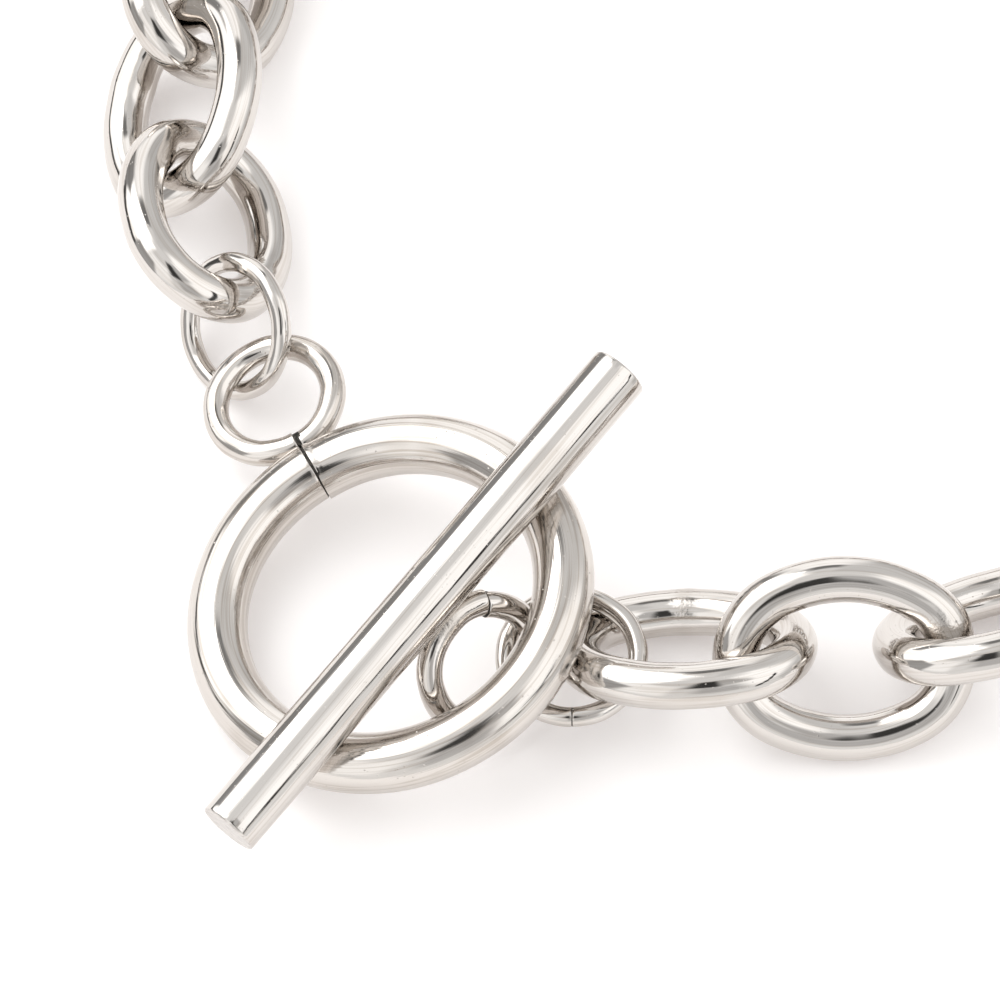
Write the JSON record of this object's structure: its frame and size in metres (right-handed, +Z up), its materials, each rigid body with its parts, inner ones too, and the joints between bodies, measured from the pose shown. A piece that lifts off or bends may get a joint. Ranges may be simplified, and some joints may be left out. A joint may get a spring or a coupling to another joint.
{
  "type": "link bracelet",
  "caption": "Bracelet of plain oval wire links, closed by a ring and bar clasp that hangs on two small jump rings.",
  "frame": {"origin": "middle of the bounding box, on the surface that the bracelet lies on", "axes": "+Z up from the surface; the fastened clasp lies towards -X and -Y, and the chain runs from its ring along +Y and from its bar along +X"},
  "size_m": [0.0694, 0.0774, 0.0121],
  "materials": {
    "ring_steel": "polished",
    "bar_steel": "polished",
    "jump_steel": "polished",
    "link_steel": "polished"
  },
  "bodies": {
    "root": {"clasp_ring": "ring_steel", "clasp_bar": "bar_steel", "ring_jump_ring": "jump_steel", "bar_jump_ring": "jump_steel", "link_01": "link_steel", "link_02": "link_steel", "link_03": "link_steel", "link_04": "link_steel", "link_05": "link_steel", "link_06": "link_steel", "link_07": "link_steel", "link_08": "link_steel", "link_09": "link_steel", "link_10": "link_steel", "link_11": "link_steel", "link_12": "link_steel", "link_13": "link_steel", "link_14": "link_steel", "link_15": "link_steel", "link_16": "link_steel", "link_17": "link_steel", "link_18": "link_steel", "link_19": "link_steel", "link_20": "link_steel", "link_21": "link_steel"}
  },
  "joints": []
}
